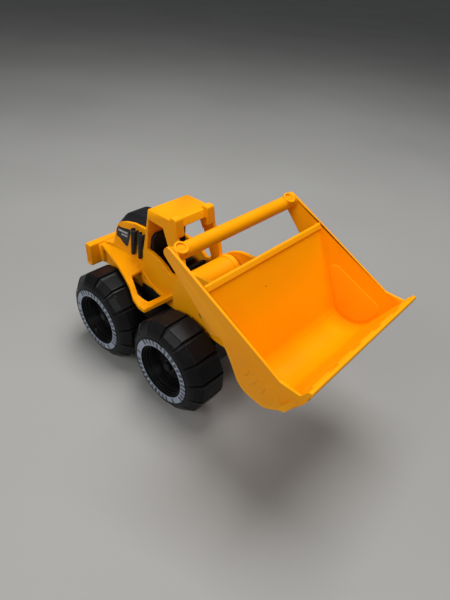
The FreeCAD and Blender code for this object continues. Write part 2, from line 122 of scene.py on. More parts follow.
def rounded(points: Sequence[Sequence[float]], radii: Sequence[float] | float,
            steps: int = 5, closed: bool = True) -> np.ndarray:
    """Outline with its corners turned into arcs.

    Each arc is centred on the corner's bisector, radius / sin(half angle) from the corner, and its
    points are a spherical blend of the two tangent directions.

    Args:
        points: corners of the outline, two numbers each.
        radii: a radius for each corner, or one for all; 0 keeps a corner sharp.
        steps: spans in each arc.
        closed: whether the last corner joins the first.

    Returns:
        An (n, 2) array.
    """
    corners = np.array(points, float)
    count = len(corners)
    sizes = np.broadcast_to(radii, count)
    t = np.linspace(0.0, 1.0, steps + 1)
    rows = []
    for i in range(count):
        corner = corners[i]
        if sizes[i] == 0 or (not closed and i in (0, count - 1)):
            rows.append(corner[None])
            continue
        back = unit(corners[i - 1] - corner)
        ahead = unit(corners[(i + 1) % count] - corner)
        half = math.acos(float(np.clip(back @ ahead, -1, 1))) / 2
        centre = corner + unit(back + ahead) * sizes[i] / math.sin(half)
        reach = sizes[i] / math.tan(half)
        first, last = corner + back * reach - centre, corner + ahead * reach - centre
        sweep = math.pi - 2 * half
        blend = np.outer(np.sin((1 - t) * sweep), first) + np.outer(np.sin(t * sweep), last)
        rows.append(centre + blend / math.sin(sweep))
    return np.vstack(rows)


def grid_object(name: str, points: np.ndarray, wrap_u: bool = True, wrap_v: bool = False,
                caps: bool = False) -> Piece:
    """Object from a grid of points, in millimetres.

    Face (i, j) joins points (i, j), (i+1, j), (i+1, j+1) and (i, j+1), with indices taken round the
    grid where it wraps. Its UV map runs 0 to 1 along both directions.

    Args:
        name: the piece's name.
        points: (nu, nv, 3) array.
        wrap_u: whether the last row joins the first.
        wrap_v: whether the last column joins the first.
        caps: close the first and last column with a face each.

    Returns:
        The object, linked to the scene.
    """
    nu, nv = points.shape[:2]
    i = np.arange(nu if wrap_u else nu - 1)
    j = np.arange(nv if wrap_v else nv - 1)
    ii, jj = [a.ravel() for a in np.meshgrid(i, j, indexing="ij")]
    ring = np.stack([ii, ii + 1, ii + 1, ii], 1)
    row = np.stack([jj, jj, jj + 1, jj + 1], 1)
    faces = ((ring % nu) * nv + row % nv).tolist()
    uv = np.stack([ring / max(len(i), 1), row / max(len(j), 1)], 2).reshape(-1, 2)
    if caps:
        first = (np.arange(nu) * nv).tolist()
        faces += [first[::-1], [k + nv - 1 for k in first]]
        uv = np.vstack([uv, np.zeros((2 * nu, 2))])
    mesh = bpy.data.meshes.new(name)
    mesh.from_pydata((points.reshape(-1, 3) * MM).tolist(), [], faces)
    mesh.uv_layers.new(name="UVMap").data.foreach_set("uv", uv.astype(np.float32).ravel())
    return linked(name, mesh)


def lathe(name: str, profile: np.ndarray, centre: Sequence[float], axis: Sequence[float],
          steps: int = 96, closed: bool = True) -> Piece:
    """Turned piece: the profile swept round an axis.

    A profile point (a, r) goes to centre + a * axis + r * (cos t * p + sin t * q), where p and q are
    square to the axis.

    Args:
        name: the piece's name.
        profile: (n, 2) array of distance along the axis and radius, in millimetres.
        centre: a point on the axis where a is 0.
        axis: the axis direction.
        steps: spans round the axis.
        closed: whether the profile is a loop; an open one starts and ends on the axis.

    Returns:
        The object.
    """
    along = unit(np.array(axis, float))
    helper = np.array([1.0, 0.0, 0.0]) if abs(along[0]) < 0.9 else np.array([0.0, 0.0, 1.0])
    p = unit(np.cross(along, helper))
    q = np.cross(along, p)
    t = np.arange(steps) * 2 * math.pi / steps
    spoke = np.outer(np.cos(t), p) + np.outer(np.sin(t), q)
    points = (np.array(centre, float) + profile[None, :, :1] * along
              + profile[None, :, 1:] * spoke[:, None])
    return grid_object(name, points, wrap_v=closed)


def carried(name: str, sections: np.ndarray) -> Piece:
    """Closed piece from cross-sections, an array (sections, points, 3), capped at both ends."""
    return grid_object(name, sections.transpose(1, 0, 2), caps=True)


def raised_plate(name: str, outline: np.ndarray, place: Callable[[np.ndarray], np.ndarray],
                 height: float, soft: float) -> Piece:
    """Low raised plate with a rounded rim on a surface.

    Rings of the outline are drawn in towards its middle by soft * (1 - cos t) while they rise by
    height * sin t, for t from 0 to a right angle, so the rim is a quarter ellipse.

    Args:
        name: the piece's name.
        outline: (n, 2) outline on the surface, in millimetres.
        place: turns (n, 3) rows of the outline's two numbers and a height into points.
        height: how far the plate stands out.
        soft: how wide its rounded rim is.

    Returns:
        The object.
    """
    middle = outline.mean(0)
    reach = np.linalg.norm(outline - middle, axis=1, keepdims=True)
    rings = []
    for t in np.linspace(0.0, math.pi / 2, 5):
        drawn = middle + (outline - middle) * (1 - soft * (1 - math.cos(t)) / reach)
        rise = np.full((len(outline), 1), height * math.sin(t))
        rings.append(place(np.hstack([drawn, rise])))
    base = place(np.hstack([outline, np.full((len(outline), 1), -height)]))
    return grid_object(name, np.stack([base] + rings, 1), caps=True)


def mirrored(points: np.ndarray, side: Side) -> np.ndarray:
    """The points on the given side, from points made for the left."""
    return points * np.array([1.0, side.value, 1.0])


def mark_edges(mesh: bpy.types.Mesh) -> None:
    """Adds the attribute "edge", 1 on convex edges and 0 on flats and hollows; the mouldings paint a
    highlight along it.

    Curvature along an edge is (normal difference . position difference) / length squared; each point
    keeps the largest of its edges, times the edge radius.

    Args:
        mesh: the finished mesh.
    """
    count = len(mesh.vertices)
    place = np.zeros(count * 3)
    mesh.vertices.foreach_get("co", place)
    normal = np.zeros(count * 3)
    mesh.vertices.foreach_get("normal", normal)
    pair = np.zeros(len(mesh.edges) * 2, np.int32)
    mesh.edges.foreach_get("vertices", pair)
    place, normal, pair = place.reshape(-1, 3), normal.reshape(-1, 3), pair.reshape(-1, 2)
    step = place[pair[:, 1]] - place[pair[:, 0]]
    turn = normal[pair[:, 1]] - normal[pair[:, 0]]
    bend = (step * turn).sum(1) / np.maximum((step * step).sum(1), 1e-12)
    strongest = np.zeros(count)
    np.maximum.at(strongest, pair.ravel(), np.repeat(bend, 2))
    edge = mesh.attributes.get("edge") or mesh.attributes.new("edge", "FLOAT", "POINT")
    edge.data.foreach_set("value", np.clip(strongest * EDGE_RADIUS * MM, 0, 1).astype(np.float32))


def close_up(obj: Piece, sharp: float = 38.0) -> Piece:
    """Welds the seams, turns the faces outwards and shades the piece smooth between sharp edges.

    Args:
        obj: the piece.
        sharp: the turn, in degrees, from which an edge stays sharp.

    Returns:
        The same piece.
    """
    work = bmesh.new()
    work.from_mesh(obj.data)
    bmesh.ops.remove_doubles(work, verts=work.verts, dist=WELD)
    bmesh.ops.recalc_face_normals(work, faces=work.faces)
    work.to_mesh(obj.data)
    work.free()
    obj.data.shade_smooth()
    obj.data.set_sharp_from_angle(angle=math.radians(sharp))
    mark_edges(obj.data)
    return obj


@dataclass(frozen=True)
class Softening:
    """How the edges of a moulding are rounded. Lengths are in radii of the rounding."""

    sharp: float = math.radians(30.0)   # an edge that turns by more than this is rounded
    straight: float = 0.86      # cosine of the turn up to which an outline goes straight on
    room_share: float = 0.42    # share of the room beside an edge that its rounding takes
    room_limit: float = 2.4     # room that is always enough
    passes: int = 12            # rounds of giving edges less width
    keep: float = 0.45          # what an edge keeps of its weight in a round
    least: float = 0.12         # an edge with less weight than this becomes sharp
    near: float = 1.6           # edges nearer than this to a turned face give way
    stray: float = 0.55         # a point further than this off the moulding goes back
    against: float = -0.1       # cosine under which a face points the wrong way
    flat: float = math.radians(0.4)     # faces that meet at less than this are one


SOFT = Softening()


def edge_room(work: bmesh.types.BMesh, width: float) -> None:
    """Weighs each sharp edge by the room that its two faces leave for a rounding.

    Room is the smallest distance from the edge's line to the other corners of its faces, leaving out
    corners where the same outline goes straight on. The weight is room share * room / width, at
    most 1.

    Args:
        work: the mesh.
        width: the rounding's radius, in millimetres.
    """
    layer = work.edges.layers.float.new("bevel_weight_edge")
    for edge in work.edges:
        if len(edge.link_faces) != 2 or edge.calc_face_angle(0.0) < SOFT.sharp:
            continue
        origin = edge.verts[0].co
        line = (edge.verts[1].co - origin).normalized()
        room = SOFT.room_limit * width * MM
        for loop in edge.link_loops:
            for way in (1, -1):
                step = loop.link_loop_next if way > 0 else loop.link_loop_prev
                last = line
                for _ in range(len(loop.face.verts) - 1):
                    a, b = step.vert.co, step.link_loop_next.vert.co
                    heading = (b - a).normalized()
                    if abs(heading.dot(last)) > SOFT.straight:
                        last = heading
                        step = step.link_loop_next if way > 0 else step.link_loop_prev
                        continue
                    far = b if way > 0 else a
                    gap = far - origin
                    room = min(room, (gap - line * gap.dot(line)).length)
                    break
        edge[layer] = min(1.0, SOFT.room_share * room / (width * MM))


def rounded_copy(work: bmesh.types.BMesh, name: str, width: float) -> bpy.types.Mesh:
    """The mesh with its weighed edges rounded.

    Args:
        work: the mesh, with bevel weights.
        name: a name for it.
        width: the radius of the edges, in millimetres.

    Returns:
        A new mesh whose normals follow its large faces.
    """
    mesh = bpy.data.meshes.new(name)
    work.to_mesh(mesh)
    carrier = linked(name + "_carrier", mesh)
    bevel = carrier.modifiers.new("moulded_edges", "BEVEL")
    bevel.width = width * MM
    bevel.segments = 3
    bevel.limit_method = "WEIGHT"
    bevel.use_clamp_overlap = False
    bevel.harden_normals = False
    even = carrier.modifiers.new("flat_faces", "WEIGHTED_NORMAL")
    even.keep_sharp = True
    even.weight = 100
    graph = bpy.context.evaluated_depsgraph_get()
    made = bpy.data.meshes.new_from_object(carrier.evaluated_get(graph))
    bpy.data.objects.remove(carrier)
    return made


def turned_over(mesh: bpy.types.Mesh, original: BVHTree) -> list[Vector]:
    """Finds faces that point against the nearest face of the original.

    Args:
        mesh: the rounded mesh.
        original: the sharp one.

    Returns:
        The middle of each such face.
    """
    wrong = []
    for face in mesh.polygons:
        if face.area < 1e-10:
            continue
        _, normal, _, _ = original.find_nearest(face.center)
        if face.normal.dot(normal) < SOFT.against:
            wrong.append(face.center.copy())
    return wrong


def softened(node: str, name: str, width: float) -> Piece:
    """Copy of a CAD node with rounded moulded edges.

    An edge whose rounding turns a face over has no room for it: its weight goes down until every face
    points the right way. A point thrown further off the moulding than about half the radius goes back
    to the nearest place on it.

    Args:
        node: the CAD node.
        name: the new piece's name.
        width: the radius of the edges, in millimetres.

    Returns:
        The object.
    """
    work = bmesh.new()
    work.from_mesh(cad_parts[node].data)
    bmesh.ops.remove_doubles(work, verts=work.verts, dist=WELD)
    bmesh.ops.dissolve_degenerate(work, edges=work.edges, dist=WELD)
    bmesh.ops.dissolve_limit(work, angle_limit=SOFT.flat, verts=work.verts, edges=work.edges)
    for face in work.faces:
        face.smooth = True
    edge_room(work, width)
    original = BVHTree.FromBMesh(work)
    layer = work.edges.layers.float["bevel_weight_edge"]
    work.edges.ensure_lookup_table()
    starts = np.array([edge.verts[0].co for edge in work.edges])
    lines = np.array([edge.verts[1].co for edge in work.edges]) - starts
    square = np.maximum((lines * lines).sum(1), 1e-18)
    for _ in range(SOFT.passes):
        for edge in work.edges:
            edge.smooth = edge[layer] > 0.0 or edge.calc_face_angle(0.0) < SOFT.sharp
        mesh = rounded_copy(work, name, width)
        wrong = turned_over(mesh, original)
        if not wrong:
            break
        for middle in wrong:
            gap = np.array(middle) - starts
            along = np.clip((gap * lines).sum(1) / square, 0, 1)
            off = np.linalg.norm(gap - along[:, None] * lines, axis=1)
            for index in np.nonzero(off < SOFT.near * width * MM)[0]:
                edge = work.edges[int(index)]
                edge[layer] = edge[layer] * SOFT.keep if edge[layer] > SOFT.least else 0.0
    for vertex in mesh.vertices:
        place, _, _, distance = original.find_nearest(vertex.co)
        if distance > SOFT.stray * width * MM:
            vertex.co = place
    LOG.info("%s: %d faces still turned over", name, len(wrong))
    work.free()
    mark_edges(mesh)
    return linked(name, mesh)


# ---- shader graphs --------------------------------------------------------
class Graph:
    """Small hand for building node trees."""

    def __init__(self, tree: Tree) -> None:
        """Starts on a tree."""
        self.tree = tree

    def add(self, kind: str, sockets: dict[Any, Any] | None = None, **settings: Any) -> Any:
        """Adds a node.

        Args:
            kind: the node's type name.
            sockets: input name or number to a value or to another node's output.
            settings: the node's own properties.

        Returns:
            The node.
        """
        node = self.tree.nodes.new(kind)
        for key, value in settings.items():
            setattr(node, key, value)
        for key, value in (sockets or {}).items():
            self.plug(node.inputs[key], value)
        return node

    def plug(self, socket: Any, value: Any) -> None:
        """Links an output to the socket, or sets its value."""
        if isinstance(value, bpy.types.NodeSocket):
            self.tree.links.new(value, socket)
        else:
            socket.default_value = value

    def math(self, operation: str, a: Any, b: Any = 0.0) -> Any:
        """Output of a Math node."""
        return self.add("ShaderNodeMath", {0: a, 1: b}, operation=operation).outputs[0]

    def times(self, a: Any, b: Any) -> Any:
        """Product of two values."""
        return self.math("MULTIPLY", a, b)

    def plus(self, a: Any, b: Any) -> Any:
        """Sum of two values."""
        return self.math("ADD", a, b)

    def group(self, tree: Tree, sockets: dict[Any, Any]) -> Any:
        """Adds a shared group with its inputs set."""
        return self.add("ShaderNodeGroup", sockets, node_tree=tree)

    def window(self, value: Any, start: float, full: float, fade: float, end: float) -> Any:
        """Mask that rises between start and full and falls between fade and end."""
        return self.times(self.ramp(value, start, full), self.ramp(value, fade, end, 1.0, 0.0))

    def ramp(self, value: Any, low: float, high: float, start: float = 0.0, end: float = 1.0) -> Any:
        """Output of a smooth Map Range from low..high to start..end."""
        sockets = {"Value": value, "From Min": low, "From Max": high, "To Min": start, "To Max": end}
        return self.add("ShaderNodeMapRange", sockets, interpolation_type="SMOOTHSTEP").outputs[0]

    def mix(self, factor: Any, a: Any, b: Any) -> Any:
        """Output of a colour mix."""
        return self.add("ShaderNodeMix", {0: factor, 6: a, 7: b}, data_type="RGBA").outputs[2]

    def noise(self, vector: Any, scale: Any, detail: float = 2.0) -> Any:
        """Output of a noise texture, 0 to 1."""
        sockets = {"Vector": vector, "Scale": scale, "Detail": detail}
        return self.add("ShaderNodeTexNoise", sockets).outputs[0]


SOCKETS = {"value": "NodeSocketFloat", "colour": "NodeSocketColor", "vector": "NodeSocketVector"}


def shader_group(name: str, inputs: dict[str, str], outputs: dict[str, str],
                 build: Callable[[Graph, Any], dict[str, Any]]) -> Tree:
    """Makes a shader node group.

    Args:
        name: the group's name.
        inputs: input names to value, colour or vector.
        outputs: output names to the same.
        build: fills the group, given its graph and the group's input sockets.

    Returns:
        The group's tree.
    """
    tree = bpy.data.node_groups.new(name, "ShaderNodeTree")
    for label, kind in inputs.items():
        tree.interface.new_socket(name=label, in_out="INPUT", socket_type=SOCKETS[kind])
    for label, kind in outputs.items():
        tree.interface.new_socket(name=label, in_out="OUTPUT", socket_type=SOCKETS[kind])
    graph = Graph(tree)
    made = build(graph, graph.add("NodeGroupInput").outputs)
    graph.add("NodeGroupOutput", made)
    return tree


def grain_group() -> Tree:
    """Fine spark-eroded mould texture: a height, and a slow change of gloss."""
    def build(g: Graph, i: Any) -> dict[str, Any]:
        """Half fine noise, half a noise many times coarser."""
        fine = g.noise(i["Vector"], i["Scale"], 3.0)
        broad = g.noise(i["Vector"], g.times(i["Scale"], 0.06))
        height = g.plus(g.times(fine, 0.5), g.times(broad, 0.5))
        return {"Height": height, "Gloss": g.math("SUBTRACT", broad, 0.5)}
    return shader_group("mould_grain", {"Vector": "vector", "Scale": "value"},
                        {"Height": "value", "Gloss": "value"}, build)


def drift_group() -> Tree:
    """Colour of a moulding that drifts slowly to a deeper tone, with a painted highlight that lightens
    its edges.
    """
    def build(g: Graph, i: Any) -> dict[str, Any]:
        """Slow noise picks the tone; the edge mask mixes in the light tone as a painted highlight."""
        slow = g.ramp(g.noise(i["Vector"], i["Scale"], 3.0), 0.35, 0.7)
        body = g.mix(g.times(slow, i["Drift"]), i["Base"], i["Deep"])
        return {"Color": g.mix(g.times(i["Edge"], i["Edge Highlight"]), body, i["Light"])}
    inputs = {"Vector": "vector", "Scale": "value", "Base": "colour", "Deep": "colour",
              "Light": "colour", "Drift": "value", "Edge": "value", "Edge Highlight": "value"}
    return shader_group("tone_drift", inputs, {"Color": "colour"}, build)


def speck_group() -> Tree:
    """Sparse specks: cells whose own random number is over a limit, round their centres."""
    def build(g: Graph, i: Any) -> dict[str, Any]:
        """Voronoi cells, a random pick and a small disc."""
        cell = g.add("ShaderNodeTexVoronoi", {"Vector": i["Vector"], "Scale": i["Scale"]})
        pick = g.add("ShaderNodeSeparateColor", {0: cell.outputs["Color"]})
        chosen = g.math("GREATER_THAN", pick.outputs[0], g.math("SUBTRACT", 1.0, i["Share"]))
        disc = g.ramp(cell.outputs["Distance"], 0.10, 0.22, 1.0, 0.0)
        return {"Mask": g.times(chosen, disc)}
    return shader_group("specks", {"Vector": "vector", "Scale": "value", "Share": "value"},
                        {"Mask": "value"}, build)


def scratch_group() -> Tree:
    """Fine handling scratches: thin level lines of a stretched noise, in patches."""
    def build(g: Graph, i: Any) -> dict[str, Any]:
        """Level line at one half, masked by a slow noise."""
        turn = g.add("ShaderNodeMapping", {"Vector": i["Vector"], "Rotation": (0.4, 0.7, 0.5),
                                           "Scale": (1.0, 9.0, 3.0)}).outputs[0]
        level = g.math("ABSOLUTE", g.math("SUBTRACT", g.noise(turn, i["Scale"], 1.0), 0.5))
        line = g.ramp(level, 0.0, 0.006, 1.0, 0.0)
        patch = g.ramp(g.noise(i["Vector"], g.times(i["Scale"], 0.5)), 0.52, 0.66)
        return {"Mask": g.times(line, patch)}
    return shader_group("handling_scratches", {"Vector": "vector", "Scale": "value"},
                        {"Mask": "value"}, build)


def band_group() -> Tree:
    """Printed blocks round a tyre band: bars of uneven height in evenly spaced cells."""
    def build(g: Graph, i: Any) -> dict[str, Any]:
        """Cell number picks a bar's low and high end; some cells stay empty."""
        part = g.add("ShaderNodeSeparateXYZ", {0: i["Vector"]})
        turn = g.times(part.outputs[0], i["Count"])
        cell, inside = g.math("FLOOR", turn), g.math("FRACT", turn)
        chance = g.add("ShaderNodeTexWhiteNoise", {1: cell}, noise_dimensions="1D")
        pick = g.add("ShaderNodeSeparateColor", {0: chance.outputs["Color"]})
        low = g.plus(g.times(pick.outputs[0], 0.16), 0.14)
        high = g.plus(g.times(pick.outputs[1], 0.18), 0.70)
        across = g.window(inside, 0.14, 0.2, 0.72, 0.8)
        v = part.outputs[1]
        tall = g.times(g.math("GREATER_THAN", v, low), g.math("LESS_THAN", v, high))
        kept = g.math("GREATER_THAN", pick.outputs[2], 0.22)
        return {"Mask": g.times(g.times(across, tall), kept)}
    return shader_group("band_blocks", {"Vector": "vector", "Count": "value"},
                        {"Mask": "value"}, build)


def stripe_group() -> Tree:
    """Two plain bars of unequal length along a label's slope."""
    def build(g: Graph, i: Any) -> dict[str, Any]:
        """Bands of v less a share of u, each between two values of u."""
        part = g.add("ShaderNodeSeparateXYZ", {0: i["Vector"]})
        x = part.outputs[0]
        y = g.math("SUBTRACT", part.outputs[1], g.times(x, i["Slope"]))
        long_bar = g.times(g.window(y, 0.50, 0.53, 0.60, 0.63), g.ramp(x, 0.14, 0.17))
        short_bar = g.times(g.window(y, 0.34, 0.37, 0.42, 0.45), g.ramp(x, 0.4, 0.43))
        bars = g.plus(long_bar, short_bar)
        return {"Mask": g.times(bars, g.ramp(x, 0.80, 0.83, 1.0, 0.0))}
    return shader_group("label_stripes", {"Vector": "vector", "Slope": "value"},
                        {"Mask": "value"}, build)


@dataclass(frozen=True)
class Groups:
    """The shared shader groups."""

    grain: Tree
    drift: Tree
    specks: Tree
    scratches: Tree
    blocks: Tree
    stripes: Tree


def new_material(name: str) -> tuple[bpy.types.Material, Graph, Any]:
    """An empty node material, its graph and its Principled shader."""
    material = bpy.data.materials.new(name)
    material.use_nodes = True
    material.node_tree.nodes.clear()
    graph = Graph(material.node_tree)
    shader = graph.add("ShaderNodeBsdfPrincipled")
    graph.add("ShaderNodeOutputMaterial", {"Surface": shader.outputs[0]})
    return material, graph, shader


@dataclass(frozen=True)
class MouldedPlastic:
    """Injection or blow moulded plastic in one colour.

    Attributes:
        name: the material's name.
        base: main colour.
        deep: the tone that it drifts to.
        light: the tone of its edges, a painted highlight.
        rough: middle roughness.
        grain: grain cells per metre.
        depth: strength of the grain's bump.
        edge_light: how far edges go to the light tone, the painted highlight.
        gloss: specular level.
        tint: colour of its gloss.
        speck: colour of its specks of dust or dirt.
        speck_share: share of cells that hold a speck.
        speck_scale: speck cells per metre.
        speck_cover: how much of the colour under it a speck hides.
        drift: how far the colour goes to the deep tone.
        drift_scale: scale of that change.
        scratch_scale: scale of the handling scratches.
        uneven: how much the grain changes roughness.
        worn: how much a scratch adds to roughness.
    """

    name: str
    base: Colour
    deep: Colour
    light: Colour
    rough: float
    grain: float = 1400.0
    depth: float = 0.12
    edge_light: float = 0.35
    gloss: float = 0.3
    tint: Colour = (1.0, 1.0, 1.0, 1.0)
    speck: Colour = (0.05, 0.02, 0.01, 1.0)
    speck_share: float = 0.02
    speck_scale: float = 300.0
    speck_cover: float = 0.55
    drift: float = 0.6
    drift_scale: float = 26.0
    scratch_scale: float = 60.0
    uneven: float = 0.22
    worn: float = 0.16

    def material(self, groups: Groups) -> bpy.types.Material:
        """Builds the material."""
        material, g, shader = new_material(self.name)
        place = g.add("ShaderNodeTexCoord").outputs["Object"]
        # Painted highlight: convex edges take on the lighter edge tone.
        edge = g.add("ShaderNodeAttribute", attribute_name="edge").outputs["Fac"]
        tone = g.group(groups.drift, {
            "Vector": place, "Scale": self.drift_scale, "Base": self.base, "Deep": self.deep,
            "Light": self.light, "Drift": self.drift, "Edge": edge, "Edge Highlight": self.edge_light})
        specks = g.group(groups.specks, {"Vector": place, "Scale": self.speck_scale,
                                         "Share": self.speck_share})
        scratch = g.group(groups.scratches, {"Vector": place, "Scale": self.scratch_scale})
        grain = g.group(groups.grain, {"Vector": place, "Scale": self.grain})
        speck_mask = g.times(specks.outputs[0], self.speck_cover)
        g.plug(shader.inputs["Base Color"], g.mix(speck_mask, tone.outputs[0], self.speck))
        uneven = g.times(grain.outputs["Gloss"], self.uneven)
        worn = g.times(scratch.outputs[0], self.worn)
        rough = g.plus(g.plus(uneven, worn), self.rough)
        g.plug(shader.inputs["Roughness"], g.math("MAXIMUM", rough, 0.08))
        height = g.math("SUBTRACT", grain.outputs["Height"],
                        g.times(scratch.outputs[0], 0.3))
        bump = g.add("ShaderNodeBump", {"Strength": self.depth, "Distance": 0.3 * MM,
                                        "Height": height})
        g.plug(shader.inputs["Normal"], bump.outputs[0])
        shader.inputs["IOR"].default_value = 1.5
        shader.inputs["Specular IOR Level"].default_value = self.gloss
        shader.inputs["Specular Tint"].default_value = self.tint
        return material


@dataclass(frozen=True)
class PrintedFilm:
    """Two-colour print on a smooth skin, placed by the piece's own UV map.

    Attributes:
        name: the material's name.
        ground: the unprinted colour.
        ink: the printed colour.
        layout: blocks round the band, or the slope of the bars.
        rough: roughness.
        banded: blocks round a band where true, plain bars where false.
    """

    name: str
    ground: Colour
    ink: Colour
    layout: float
    rough: float
    banded: bool

    def material(self, groups: Groups) -> bpy.types.Material:
        """Builds the material."""
        material, g, shader = new_material(self.name)
        coordinates = g.add("ShaderNodeTexCoord")
        print_group = groups.blocks if self.banded else groups.stripes
        marks = g.group(print_group, {"Vector": coordinates.outputs["UV"], 1: self.layout})
        place = coordinates.outputs["Object"]
        fade = g.ramp(g.noise(place, 420.0, 4.0), 0.3, 0.75, 1.0, 0.72)
        inked = g.mix(g.times(marks.outputs[0], fade), self.ground, self.ink)
        dull = tuple(c * 0.82 for c in self.ground[:3]) + (1.0,)
        aged = g.mix(g.ramp(g.noise(place, 90.0, 3.0), 0.4, 0.8, 0.0, 0.35), inked, dull)
        g.plug(shader.inputs["Base Color"], aged)
        rough = g.plus(g.times(g.noise(place, 260.0), 0.16), self.rough)
        g.plug(shader.inputs["Roughness"], rough)
        bump = g.add("ShaderNodeBump", {"Strength": 0.15, "Distance": 0.05 * MM,
                                        "Height": marks.outputs[0]})
        g.plug(shader.inputs["Normal"], bump.outputs[0])
        return material


@dataclass(frozen=True)
class PlatedSteel:
    """Zinc-plated steel for axles, pins and screws.

    Attributes:
        name: the material's name.
        base: clean metal.
        stain: dull patches.
    """

    name: str
    base: Colour = (0.56, 0.57, 0.59, 1.0)
    stain: Colour = (0.24, 0.23, 0.22, 1.0)

    def material(self, groups: Groups) -> bpy.types.Material:
        """Builds the material, drawn along the axle's length."""
        material, g, shader = new_material(self.name)
        place = g.add("ShaderNodeTexCoord").outputs["Object"]
        drawn = g.add("ShaderNodeMapping", {"Vector": place, "Scale": (1.0, 0.04, 1.0)}).outputs[0]
        lines = g.noise(drawn, 3200.0, 2.0)
        stain = g.ramp(g.noise(place, 160.0, 4.0), 0.5, 0.75, 0.0, 0.5)
        g.plug(shader.inputs["Base Color"], g.mix(stain, self.base, self.stain))
        grain = g.group(groups.grain, {"Vector": place, "Scale": 2400.0})
        rough = g.plus(g.times(lines, 0.18), 0.22)
        g.plug(shader.inputs["Roughness"], g.plus(rough, g.times(stain, 0.3)))
        bump = g.add("ShaderNodeBump", {"Strength": 0.2, "Distance": 0.03 * MM,
                                        "Height": g.plus(lines, grain.outputs["Height"])})
        g.plug(shader.inputs["Normal"], bump.outputs[0])
        shader.inputs["Metallic"].default_value = 1.0
        return material


def make_groups() -> Groups:
    """Builds each shared group once."""
    return Groups(grain_group(), drift_group(), speck_group(), scratch_group(), band_group(),
                  stripe_group())


# The third colour of each moulding is the painted highlight tone of its edges.
YELLOW = MouldedPlastic("yellow_moulding", (0.98, 0.355, 0.0, 1.0), (0.95, 0.305, 0.0, 1.0),
                        (1.0, 0.46, 0.01, 1.0), rough=0.42, gloss=0.16,
                        tint=(1.0, 0.72, 0.25, 1.0), speck_share=0.012)
BLACK_GLOSS = MouldedPlastic("black_trim_moulding", (0.006, 0.006, 0.007, 1.0),
                             (0.010, 0.010, 0.011, 1.0), (0.022, 0.022, 0.024, 1.0), rough=0.34,
                             grain=1700.0, gloss=0.32, speck=(0.25, 0.24, 0.22, 1.0))
BLACK_MATT = MouldedPlastic("black_matt_moulding", (0.004, 0.004, 0.0045, 1.0),
                            (0.007, 0.007, 0.008, 1.0), (0.013, 0.013, 0.014, 1.0), rough=0.5,
                            grain=1100.0, depth=0.2, gloss=0.2, speck=(0.2, 0.19, 0.17, 1.0))
TYRE_SKIN = MouldedPlastic("tyre_moulding", (0.0035, 0.0035, 0.004, 1.0),
                           (0.006, 0.006, 0.007, 1.0), (0.018, 0.018, 0.020, 1.0), rough=0.33,
                           grain=900.0, depth=0.16, edge_light=0.5, gloss=0.12,
                           speck=(0.32, 0.31, 0.29, 1.0), speck_share=0.03)
HUB_SKIN = MouldedPlastic("hub_moulding", (0.003, 0.003, 0.0034, 1.0),
                          (0.005, 0.005, 0.006, 1.0), (0.014, 0.014, 0.015, 1.0), rough=0.36,
                          gloss=0.12, speck=(0.3, 0.29, 0.27, 1.0), speck_share=0.04)
BAND = PrintedFilm("tyre_band", (0.29, 0.33, 0.41, 1.0), (0.010, 0.011, 0.015, 1.0),
                   layout=38.0, rough=0.45, banded=True)
LABEL = PrintedFilm("hood_label", (0.006, 0.006, 0.007, 1.0), (0.55, 0.55, 0.56, 1.0),
                    layout=0.2, rough=0.26, banded=False)
STEEL = PlatedSteel("plated_steel")


class Maker:
    """Dresses pieces, puts them on their bodies and reports them."""

    def __init__(self) -> None:
        """Builds the groups; materials are built when first used."""
        self.groups = make_groups()
        self.made: dict[str, bpy.types.Material] = {}

    def skin(self, finish: MouldedPlastic | PrintedFilm | PlatedSteel) -> bpy.types.Material:
        """The finish's material, built once."""
        if finish.name not in self.made:
            self.made[finish.name] = finish.material(self.groups)
        return self.made[finish.name]

    def place(self, obj: Piece, finish: Any, body: Body, slot: Slot,
              *nodes: str) -> Piece:
        """Dresses a new piece and sets it on its body.

        Args:
            obj: the piece.
            finish: its finish.
            body: the body that carries it.
            slot: the record's slot; not used.
            nodes: CAD nodes that it stands for.

        Returns:
            The piece.
        """
        obj.data.materials.clear()
        obj.data.materials.append(self.skin(finish))
        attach(obj, body.value)
        if nodes:
            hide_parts(*nodes)
        LOG.info("%s: %d faces on %s", obj.name, len(obj.data.polygons), body.value)
        return obj

    def soften(self, node: str, name: str, width: float, *dress: Any) -> None:
        """Puts a copy of a CAD node, its edges rounded, in the node's place."""
        self.place(softened(node, name, width), *dress, node)

    def keep(self, node: str, finish: Any) -> None:
        """Gives a CAD node that stays as it is a better material.

        Args:
            node: the node.
            finish: its finish.
        """
        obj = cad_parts[node]
        skin = self.skin(finish)
        if not obj.material_slots:
            obj.data.materials.append(skin)
        for material_slot in obj.material_slots:
            material_slot.material = skin
        LOG.info("%s: kept", node)


